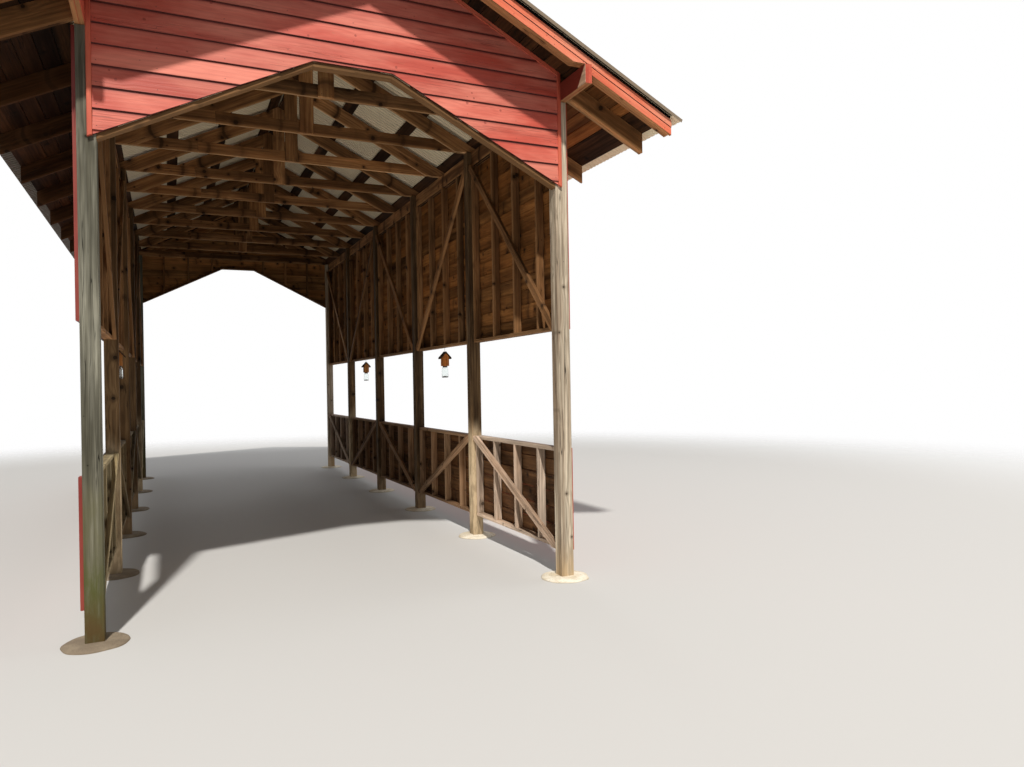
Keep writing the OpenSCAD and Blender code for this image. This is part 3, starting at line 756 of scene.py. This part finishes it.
def wall_frame(s, side, level, woods, z0, z1, first_stud):
    """Rails, studs and the flat diagonal boards of the low or the upper wall."""
    low = level == "low"
    rails = Piece(side + ("_low_wall_rails" if low else "_wall_plates"), woods)
    studs = Piece(f"{side}_{level}_wall_studs", woods)
    braces = Piece(f"{side}_{level}_wall_braces", woods + [nail_steel])
    top = z1 - LUMBER if low else z1
    middle_studs = [first_stud + k * STUD_PITCH - LUMBER / 2 for k in range(3)]
    spots = [POST / 2] + middle_studs + [BAY - POST / 2 - LUMBER]
    for i, y in enumerate(POST_YS[:-1]):
        # inner bays take the darker copy: painted shade
        slot = 1 if low and 0 < i < BAYS - 1 else 0
        y0, y1 = y + POST / 2, y + BAY - POST / 2
        for z in (z0, top) if low else (z0,):
            rails.board(vec(s * STUD_IN, y0, z), Y, X * s, Z, BAY - POST, STUD, LUMBER, slots=slot)
        for spot in spots:
            foot = vec(s * STUD_IN, y + spot, z0 + LUMBER)
            studs.board(foot, Z, X * s, Y, top - z0 - LUMBER, STUD, LUMBER, slots=slot)
        # a strip through the middle of the bay, cut at the bay's edges
        way = 1 if (i % 2 == 0) == (low or s > 0) else -1
        angle = way * atan((z1 - z0) / (y1 - y0))
        cu, su = cos(angle), sin(angle)
        middle_y, middle_z = (y0 + y1) / 2, (z0 + z1) / 2
        strip = [(middle_y + cu * p - su * q, middle_z + su * p + cu * q)
                 for p, q in ((-BAY, -STUD / 2), (BAY, -STUD / 2), (BAY, STUD / 2), (-BAY, STUD / 2))]
        for a, b, limit in ((-1, 0, -y0), (1, 0, y1), (0, -1, -z0), (0, 1, z1)):
            strip = clip(strip, a, b, limit)
        braces.prism(vec(s * STUD_IN, 0, 0), Y, Z, X * -s, strip, LUMBER, slots=slot, turn=angle)
        for spot in spots:
            nail_y = y + spot + LUMBER / 2
            for off in (-0.018, 0.02):
                nail_z = middle_z + (nail_y - middle_y) * tan(angle) + off
                if z0 + NAIL_IN < nail_z < z1 - NAIL_IN:
                    braces.nail(vec(s * BRACE_IN, nail_y, nail_z), X * -s, len(woods))
    rails.make(side + ("_low_rails" if low else "_upper_plates"))
    studs.make(f"{side}_{level}_studs")
    braces.make(f"{side}_{level}_braces")


for s, side in SIDES:
    low_woods = [low_wood, shaded_sheltered_wood] if s > 0 else [left_low_wood, left_shaded_sheltered_wood]
    wall_frame(s, side, "low", low_woods, LOW_0, LOW_1, 0.555)
    wall_frame(s, side, "upper", [wall_wood], UP_0, BEAM_0, 0.495)
    for level, backs, z0, z1, exposure in (("low", low_lap_wood, LOW_0, LOW_1, 0.1763),
                                           ("upper", lap_wood, UP_0, BEAM_0, 0.1672)):
        # the left walls take the darker copy: painted shade
        wall_paint = red_paint if s > 0 else left_red_paint
        piece = Piece(f"{side}_{level}_lap_boards", [wall_paint, backs, nail_steel, red_butt])
        lap_wall(piece, s, z0, z1, exposure)
        piece.make(f"{side}_{level}_siding", "red_paint")

# Wall beams, two boards each, painted where they run out under the rakes
for s, side in SIDES:
    piece = Piece(side + "_wall_beam_boards", [roof_wood, red_paint, fly_wood, beam_end_paint, overhang_wood])
    for ply in range(2):
        x = s * (BEAM_IN + ply * LUMBER)
        outer = END - 0.03
        edges = (-RAKE_Y, -outer, POST_YS[2 + ply], RUN / 2 - (1 - ply) * BAY, outer, RAKE_Y)
        for k, (y0, y1) in enumerate(zip(edges, edges[1:])):
            painted = k in (0, 4)
            # the right beams' inner painted faces take the dark copy, and unpainted undersides the dark overhang
            # lumber: painted shade
            slots = (3 if s > 0 and ply == 0 else 1, 1, 1) if painted else 0
            start, along = (y1 - JOINT, -Y) if k == 4 else (y0 + JOINT, Y)
            piece.board(vec(x, start, BEAM_0), along, Z, X * s, y1 - y0 - 2 * JOINT, BEAM_1 - BEAM_0, LUMBER,
                        slots=slots, under=2 if painted else 4)
    piece.make(side + "_beam")

# Gables
GABLE_EXPOSURE = 0.171
COURSES = [3.911, 4.084, 4.257, 4.432, 4.605, 4.773] + [4.940 + k * GABLE_EXPOSURE for k in range(8)]
GABLE_STUDS = [0.560 + k * 0.520 for k in range(3)]


def gable_outlines(z0, z1):
    """Outlines of the board between two heights, kept above the arch and under the roof."""
    end = min(TRIM_X, (RIDGE - z0) / ROOF_K)
    if z0 < BEAM_0 < z1:
        foot = FLAT + (BEAM_0 - z0) / ARCH_K
        half = [(FLAT, BEAM_0), (foot, z0), (end, z0), (end, z1)]
        return [half + [(-x, z) for x, z in half[::-1]]]
    box = [(-end - 1, z0), (end + 1, z0), (end + 1, z1), (-end - 1, z1)]
    box = clip(clip(box, 1, 0, TRIM_X), -1, 0, TRIM_X)
    if z1 > roof(TRIM_X):
        box = clip(clip(box, ROOF_K, 1, RIDGE), -ROOF_K, 1, RIDGE)
    if z0 >= BEAM_0:
        return [box]
    limit = SPRING + POST_IN * ARCH_K
    return [clip(box, -s * ARCH_K, -1, -limit) for s in (1, -1)]


for f, front in GABLES:
    # the back gable's inside takes the lighter copy: painted light
    piece = Piece(front + "_gable_lap_boards", [gable_paint, lap_wood if f < 0 else far_lap_wood, nail_steel, red_butt])
    up, out, lean = lap_axes(Y * f, GABLE_EXPOSURE)
    half_nails = [x + LUMBER / 2 for x in GABLE_STUDS] + [2.06]
    for z0 in COURSES:
        base = vec(0, f * (END + LAP_FOOT), z0)
        for outline in gable_outlines(z0, min(z0 + GABLE_EXPOSURE + LAP, RIDGE - 0.002)):
            shape = [(x, (z - z0) / lean) for x, z in outline]
            piece.prism(base, X, up, out, shape, LAP_T, 0.0015, (1, 1, 0), under=3, lap=0.172)
        for nail_x in [-x for x in half_nails[::-1]] + [0.0] + half_nails:
            if arch(nail_x) + 0.02 < z0 + NAIL_UP < roof(nail_x) - 0.06:
                piece.nail(base + X * nail_x + up * NAIL_UP + out * LAP_T, out, 2, 0.004)
    piece.make(front + "_gable_siding", "red_paint")

    piece = Piece(front + "_gable_stud_boards", [wall_wood])
    for s in (1, -1):
        for x0, x1 in ((x, x + LUMBER) for x in GABLE_STUDS):
            outline = [(x0, arch(x0)), (x1, arch(x1)), (x1, BEAM_1), (x0, BEAM_1)]
            piece.upright(f * END, -f, outline, STUD, s, turn=pi / 2)
    piece.make(front + "_gable_studs")

    piece = Piece(front + "_arch_lining_boards", [lining_wood])
    lining_v = LUMBER / cos(ARCH_A)
    piece.upright(f * END, -f, band(arch, -FLAT, FLAT, lining_v), LINING_W)
    for s in (1, -1):
        piece.upright(f * END, -f, band(arch, FLAT + GAP, POST_IN, lining_v), LINING_W, s, turn=-ARCH_A)
    piece.make(front + "_arch_lining")

trims, frieze = Piece("corner_trim_boards", [red_paint]), Piece("frieze_strips", [red_paint])
upright = [(x, line(x)) for x, line in ((TRIM_X, arch), (BEAM_IN, arch), (BEAM_IN, roof), (TRIM_X, roof))]
for f, s in CORNERS:
    trims.upright(f * END, f, upright, SIDING + 0.010, s, turn=pi / 2)
    frieze.upright(f * (END + SIDING - 0.008), f, band(roof, JOINT, TRIM_X, 0.046), 0.018, s, bevel=0.002,
                   turn=-ROOF_A)
trims.make("corner_trims", "red_paint")
frieze.make("frieze_boards", "red_paint")


# Trusses and rafters
def slope_outline(inner, v, reach=TAIL, drop=0.0):
    """A sloping board of plumb height v, cut level where it rests on the beam."""
    seat = (RIDGE - v - BEAM_1) / ROOF_K
    return [(inner, roof(inner) - v), (seat, BEAM_1), (HALF, BEAM_1), (HALF, roof(HALF) - v), (reach, roof(reach) - v),
            (reach, roof(reach) - drop), (inner, roof(inner) - drop)]


for s, side in SIDES:
    wood = right_rafter_wood if s > 0 else left_rafter_wood
    # the right rafters' undersides take the pale lumber: painted light
    piece = Piece(side + "_rafter_boards", [wood, nail_steel, timber_edge if s > 0 else wood])
    for y, way in TRUSSES:
        piece.upright(y, way, slope_outline(KING / 2, RAFTER_V), LUMBER, s, turn=-ROOF_A, under=2)
        for x, z in ((1.86, 5.20), (1.93, 5.16), (2.00, 5.19), (1.90, 5.14), (1.97, 5.13)):
            piece.nail(vec(s * x, y, z), Y * -way, 1)
    piece.make(side + "_rafters")

# the chords' undersides take the pale lumber: painted light
chords = Piece("chord_boards", [roof_wood, timber_edge])
kings = Piece("king_post_boards", [king_wood, nail_steel])
CHORD_X = (RIDGE - BEAM_1 - CHORD_H) / ROOF_K
chord = [(-HALF, BEAM_1), (HALF, BEAM_1), (HALF, roof(HALF)), (CHORD_X, BEAM_1 + CHORD_H),
         (-CHORD_X, BEAM_1 + CHORD_H), (-HALF, roof(HALF))]
king = [(-KING / 2, BEAM_1), (KING / 2, BEAM_1), (KING / 2, roof(KING / 2)), (0, RIDGE), (-KING / 2, roof(KING / 2))]
for y, way in TRUSSES:
    splice = -1.10 + chords.rng.uniform(-0.08, 0.08)
    for part in (clip(chord, 1, 0, splice - GAP), clip(chord, -1, 0, -splice - GAP)):
        chords.upright(y + way * LUMBER, way, part, LUMBER, under=1)
    kings.upright(y, way, king, LUMBER, turn=pi / 2)
    for x, z in ((-0.05, 0.03), (0.05, 0.035), (-0.045, 0.10), (0.048, 0.105), (0.0, 0.07)):
        kings.nail(vec(x, y, BEAM_1 + z), Y * -way, 1)
chords.make("truss_chords")
kings.make("king_posts")

# the left fly rafters take the darker copy: painted shade
piece = Piece("fly_rafter_boards", [fly_wood, right_rafter_wood, left_fly_wood])
TAIL_IN = HALF + GAP
tail = [(TAIL_IN, roof(HALF) - RAFTER_V), (TAIL, roof(TAIL) - RAFTER_V), (TAIL, roof(TAIL)), (TAIL_IN, roof(HALF))]
for f, s in CORNERS:
    for ply in range(2):
        piece.upright(f * (FLY_Y - ply * LUMBER), -f, slope_outline(JOINT, FLY_V), LUMBER, s,
                      slots=0 if s > 0 else 2, turn=-ROOF_A)
    piece.upright(f * END, f, tail, LUMBER, s, slots=1 if s > 0 else 2, turn=-ROOF_A)
piece.make("fly_rafters")

# Rake boards: a wide one, the shadow board along its top, and one below that in two parts
RAKE_X, SHADOW_T = TAIL + 0.016, BOARD - 0.005
lower = band(roof, JOINT, RAKE_X, FLY_V, 0.083)
RAKES = ((FLY_Y, slope_outline(JOINT, FLY_V, RAKE_X, 0.004), BOARD, 2),
         (FLY_Y + BOARD, slope_outline(JOINT, 0.079, RAKE_X, 0.004), BOARD, 3),
         (FLY_Y + BOARD, clip(clip(lower, 1, 0, HALF), 0, -1, -BEAM_1), SHADOW_T, 2),
         (FLY_Y + BOARD, clip(lower, -1, 0, -HALF), SHADOW_T, 2))
for f, front in GABLES:
    piece = Piece(front + "_rake_planks", [rake_paint, nail_steel, fly_wood, red_butt])
    for s in (1, -1):
        for y, outline, depth, under in RAKES:
            piece.upright(f * y, f, outline, depth, s, bevel=0.0015, turn=-ROOF_A, under=under)
        for x in (0.12 + k * 0.42 for k in range(8)):
            for drop, y in ((0.025, RAKE_Y), (0.060, RAKE_Y), (0.130, RAKE_Y - 0.005)):
                piece.nail(vec(s * x, f * y, roof(x) - drop), Y * f, 1, 0.004)
    piece.make(front + "_rake_boards", "red_paint")

# Purlins: rows as distance from the middle and width, four inner ones, four over the eaves, the edge
PURLIN_X = PURLIN_W * ROOF_COS
EAVE_PITCH = PURLIN_X + 0.005
EAVE_X = TAIL - 0.347
EDGE_IN = EAVE_X + EAVE_PITCH - PURLIN_X / 2
ROWS = [(0.077 + k * 0.690, PURLIN_W) for k in range(4)] + [(EAVE_X - k * EAVE_PITCH, PURLIN_W) for k in range(4)]
ROWS.append(((EDGE_IN + TAIL) / 2, (TAIL - EDGE_IN) / ROOF_COS))


def slope_axes(s):
    """Unit vectors down the slope and out of the roof."""
    return vec(s * ROOF_COS, 0, -sin(ROOF_A)), vec(s * sin(ROOF_A), 0, ROOF_COS)


for s, side in SIDES:
    down, out = slope_axes(s)
    # the left eaves take the darker copy: painted shade
    piece = Piece(side + "_purlin_boards", [eave_wood if s > 0 else left_eave_wood, edge_wood, overhang_wood])
    for row, (x, width) in enumerate(ROWS):
        breaks = [TRUSS_YS[k] + LUMBER / 2 for k in range(1, 10) if (k + row) % 3 == 0]
        edges = [-PURLIN_Y] + breaks + [PURLIN_Y]
        for y0, y1 in zip(edges, edges[1:]):
            origin = vec(s * x, y0 + GAP, roof(x)) - down * (width / 2)
            slot = 1 if row == len(ROWS) - 1 else 2 if row < 4 else 0
            piece.board(origin, Y, down, out, y1 - y0 - 2 * GAP, width, PURLIN_T, slots=slot)
    # boards side by side between the purlins, over the gable overhangs only
    for row in range(4):
        x0 = ROWS[row][0] + PURLIN_X / 2
        x1 = ROWS[row + 1 if row < 3 else 7][0] - PURLIN_X / 2
        count = max(1, round((x1 - x0) / 0.138))
        pitch = (x1 - x0) / count
        for x in (x0 + k * pitch + 0.002 for k in range(count)):
            for f in (-1, 1):
                piece.board(vec(s * x, f * PURLIN_Y, roof(x)), Y * -f, down, out, PURLIN_Y - END + 0.035,
                            (pitch - 0.004) / ROOF_COS, PURLIN_T, slots=2)
    piece.make(side + "_purlins")

# Ribbed roofing, in panels of twelve ribs that lap over the next one
RIB, RIBS, SHEET = 0.0762, 12, 0.0008
RIB_PROFILE = [(0.000, 0.0105), (0.014, 0.0105), (0.022, SHEET), (0.068, SHEET)]
PANEL = RIBS * RIB
TOP = RIDGE + PURLIN_V
profile = [(k * RIB + p, h) for k in range(RIBS) for p, h in RIB_PROFILE] + [(PANEL, 0.0105), (PANEL + 0.014, 0.0105)]
for s, side in SIDES:
    down, out = slope_axes(s)
    piece = Piece(side + "_ribbed_panels", [roof_tan, roof_cream, screw_steel])
    foot = vec(0, 0, TOP)
    length = (METAL_X - 0.008) / ROOF_COS
    y, panel = -METAL_Y, 0
    while y < METAL_Y - 0.02:
        lift = SHEET * (panel % 2)
        points = [(y + p, h + lift) for p, h in profile if y + p <= METAL_Y + 1e-6]
        if points[-1][0] < METAL_Y - 1e-4 and y + PANEL > METAL_Y:
            points.append((METAL_Y, points[-1][1]))
        tone, shift = piece.tones(length)
        base, n = len(piece.verts), len(points)
        for level in (0.0, -SHEET):
            for reach in (0.0, length):
                for at, h in points:
                    piece.put(foot + down * reach + out * (h + level) + Y * at, (reach, at - y, h), tone, shift)
        for i in range(base, base + n - 1):
            top = [i, n + i, n + i + 1, i + 1]
            low = [2 * n + i, 2 * n + i + 1, 3 * n + i + 1, 3 * n + i]
            edge = [n + i, 3 * n + i, 3 * n + i + 1, n + i + 1]
            for ids, slot in ((top, 0), (low, 1), (edge, 0)):
                piece.face(ids if s > 0 else ids[::-1], slot)
        for k in range(4):
            for x, width in ROWS:
                at = foot + down * (x / ROOF_COS) + out * SHEET + Y * (y + (3 * k + 0.6) * RIB)
                if abs(at.y) < METAL_Y - TRIM_LEG and 0.18 < x < 3.1:
                    piece.screw(at, out, 2)
        y += PANEL
        panel += 1
    piece.make(side + "_roofing", "roof_metal")

# Metal trims over the rakes; the section runs outwards past the roofing and upwards from the sheet
TRIM = mm((0, -18.5), (1.2, -19.5), (3.8, -21.5), (4, -20), (2.6, -17.5), (2.6, 13), (1.6, 14.3), (-74, 14.3),
          (-80, 11.8), (-80, 11), (-73, 12.9), (1, 12.9), (1.4, 12), (1.4, -17.5))
for f, front in GABLES:
    piece = Piece(front + "_rake_flashing", [trim_tan, screw_steel])
    for s in (1, -1):
        down, out = slope_axes(s)
        foot = vec(0, f * METAL_Y, TOP) + down * JOINT
        piece.prism(foot, Y * f, out, down, TRIM, (METAL_X - 0.0095) / ROOF_COS, 0.0001, turn=pi / 2)
        for k in range(12):
            piece.screw(foot + down * (0.15 + k * 0.29) + out * 0.0143 - Y * f * 0.045, out, 1)
    piece.make(front + "_rake_trim", "roof_metal")

# Folded ridge cap; the halves of its section are given as distance from the ridge and height
CAP_Z, CAP_Y, CAP_H = TOP + METAL_T / ROOF_COS, METAL_Y - TRIM_LEG, 0.0045
below = [(0.170, 0.0), (0.166, 0.001), (0.160, CAP_H - 0.0012), (0.012, CAP_H - 0.0012)]
above = [(0.170, 0.0016), (0.161, CAP_H), (0.012, CAP_H)]
section = ([(-x, h) for x, h in below] + [(0.0, CAP_H - 0.0016)] + below[::-1] + above + [(0.0, CAP_H + 0.0005)]
           + [(-x, h) for x, h in above[::-1]])
section = [(x, CAP_Z - ROOF_K * abs(x) + h) for x, h in section]
piece = Piece("folded_ridge_cap", [trim_tan, screw_steel])
y = -CAP_Y
while y < CAP_Y - 0.01:
    reach = min(3.05, CAP_Y - y)
    piece.upright(y, 1, section, reach - GAP, bevel=0.0001, turn=pi / 2)
    y += reach
for s in (1, -1):
    down, out = slope_axes(s)
    for k in range(int(2 * CAP_Y / (3 * RIB))):
        at = vec(s * 0.135, -CAP_Y + 0.08 + k * 3 * RIB, CAP_Z - ROOF_K * 0.135 + CAP_H)
        piece.screw(at, out, 1)
piece.make("ridge_cap", "roof_metal")

# Bee houses, each as its side, its place along the wall and the length of its hook
BEES = ((1, -2.450, 0.060), (1, 2.400, 0.050), (-1, -1.900, 0.015), (-1, 2.400, 0.030))
ROOF_H, ROOF_X, ROOF_V = 0.090, 0.082, 0.022
BEE_X, BEE_W, BEE_H = HALF - STUD / 2, 0.096, 0.125
PEAK = ROOF_H - ROOF_V
EAVE_Z = PEAK - ROOF_H / ROOF_X * BEE_W / 2
body = [(-BEE_W / 2, -BEE_H), (BEE_W / 2, -BEE_H), (BEE_W / 2, EAVE_Z), (0, PEAK), (-BEE_W / 2, EAVE_Z)]
slab = [(0, PEAK), (ROOF_X, -ROOF_V), (ROOF_X, 0), (0, ROOF_H)]
# profiles of the jars' parts, from the middle outwards, as radius and height from the house's foot
LID = mm((0, -1), (34.5, -1), (35, -2.5), (35, -6), (34.2, -7), (35, -8), (35, -16.5), (35.4, -18), (35, -19.5),
         (33.5, -20))
JAR = mm((33, -14), (33, -21), (34.5, -24), (40, -29), (45.5, -36), (47.6, -44), (48, -54), (48, -155), (47.2, -163),
         (44.5, -169), (40, -172), (31, -170.5), (0, -169), (0, -166.5), (36, -166.5), (42.5, -164), (45, -156),
         (45.3, -54), (44.8, -45), (42.5, -37), (37, -30.5), (31.5, -25), (30.5, -14))
HEAP = mm((0, -150), (12, -150.5), (22, -153), (32, -155.5), (43.8, -158), (44, -160), (41.5, -164.2), (35.5, -166.2),
          (0, -166.2))
houses = Piece("bee_house_bodies", [bee_body, bee_roof, hole_dark, lid_metal])
jars = Piece("bee_house_jars", [glass, lid_metal, residue])
for s, y, gap in BEES:
    at = vec(s * BEE_X, y, UP_0 - gap - ROOF_H)
    houses.prism(at - Y * 0.050, X, Z, Y, body, 0.100, 0.0025, turn=pi / 2)
    for t in (1, -1):
        houses.prism(at - Y * 0.062, X * t, Z, Y, slab, 0.124, 0.0015, 1, turn=-atan2(ROOF_H, ROOF_X))
    # drilled entrances, drawn as near-black discs: painted shade in place of holes
    for normal, away, height in ((-Y, 0.0503, -0.035), (Y, 0.0503, -0.035), (X, 0.0483, -0.055), (-X, 0.0483, -0.055)):
        houses.nail(at + normal * away + Z * height, normal, 2, 0.0068)
    hook = [(0.0, gap), (0.0025, gap - 0.001), (0.0025, 0.001), (0.0045, 0.0), (0.0045, -0.003)]
    houses.lathe(at + Z * ROOF_H, hook, 3, 10)
    foot = at - Z * BEE_H
    jars.lathe(foot, LID[::-1], 1, 48)
    jars.lathe(foot, JAR[::-1], 0, 48)
    jars.lathe(foot, HEAP[::-1], 2, 40)
houses.make("bee_houses", "bee_wood")
jars.make("bee_jars", "jar_glass")


# Floor, light and camera
def stage_floor():
    """A pale floor that fades into the white background away from the bridge."""
    g = Graph("studio_floor")
    away = g.add("VectorMath", {0: g.position()}, "Value", operation="LENGTH")
    plain = g.add("BsdfPrincipled", {"Base Color": (0.63, 0.625, 0.615), "Roughness": 0.9, "Specular IOR Level": 0.15})
    g.output(g.add("MixShader", {0: g.steps(away, 11.0, 21.0), 1: plain, 2: g.add("BsdfTransparent", {})}))
    mesh = bpy.data.meshes.new("studio_floor")
    mesh.from_pydata([(-40, -40, -0.001), (40, -40, -0.001), (40, 40, -0.001), (-40, 40, -0.001)], [], [(0, 1, 2, 3)])
    mesh.materials.append(g.block)
    new_object("studio_floor", mesh)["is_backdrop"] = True


def lamp(name, place, target, size, power, colour=(1, 1, 1)):
    """A round lamp that no view shows."""
    light = bpy.data.lights.new(name, "AREA")
    light.shape, light.size, light.energy, light.color = "DISK", size, power, colour
    obj = new_object(name, light)
    obj.location = place
    obj.rotation_mode = "QUATERNION"
    obj.rotation_quaternion = (Vector(target) - Vector(place)).to_track_quat("-Z", "Y")
    obj.visible_camera = False


def white_world(strength):
    """White where the camera, a reflection or glass shows it, and weaker as a light."""
    g = Graph("studio_world", bpy.data.worlds)
    bpy.context.scene.world = g.block
    ray = g.add("LightPath", {}, None)
    shiny = g.math("MAXIMUM", ray["Is Glossy Ray"], ray["Is Transmission Ray"])
    seen = g.math("MAXIMUM", ray["Is Camera Ray"], shiny)
    level = g.add("MapRange", {"Value": seen, "To Min": strength, "To Max": 1.0})
    g.output(g.add("Background", {"Color": (1, 1, 1), "Strength": level}), "World")


def photo_camera():
    """The fitted view: from the left of the road, at eye height, a little to the right."""
    yaw, pitch, roll = (radians(v) for v in (24.772, 0.049, -1.009))
    camera = bpy.data.cameras.new("photo_camera")
    camera.sensor_width, camera.lens = 36.0, 26.2206
    camera.clip_start, camera.clip_end = 0.05, 300.0
    obj = new_object("photo_camera", camera)
    turn = Matrix.Rotation(-yaw, 4, "Z") @ Matrix.Rotation(pi / 2 + pitch, 4, "X") @ Matrix.Rotation(roll, 4, "Z")
    obj.matrix_world = Matrix.Translation((-1.580, -12.917, 2.0125)) @ turn
    bpy.context.scene.camera = obj


stage_floor()
white_world(0.24)
lamp("key", (-12.5, -48.6, 55.7), (0.3, -5.0, 2.5), 2.8, 56000.0, (1.0, 0.96, 0.90))
lamp("fill", (-18.0, -16.0, 12.0), (0.0, 0.0, 2.5), 12.0, 70.0)
lamp("side", (22.0, -6.0, 10.0), (0.0, 0.0, 2.0), 12.0, 700.0)
lamp("back", (6.0, 24.0, 16.0), (0.0, 3.0, 2.5), 12.0, 1200.0)
lamp("bounce", (0.2, -4.2, 0.04), (0.2, -4.2, 5.0), 3.2, 46.0, (1.0, 0.93, 0.84))
photo_camera()
bpy.context.scene.view_settings.view_transform = "Standard"

low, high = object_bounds()
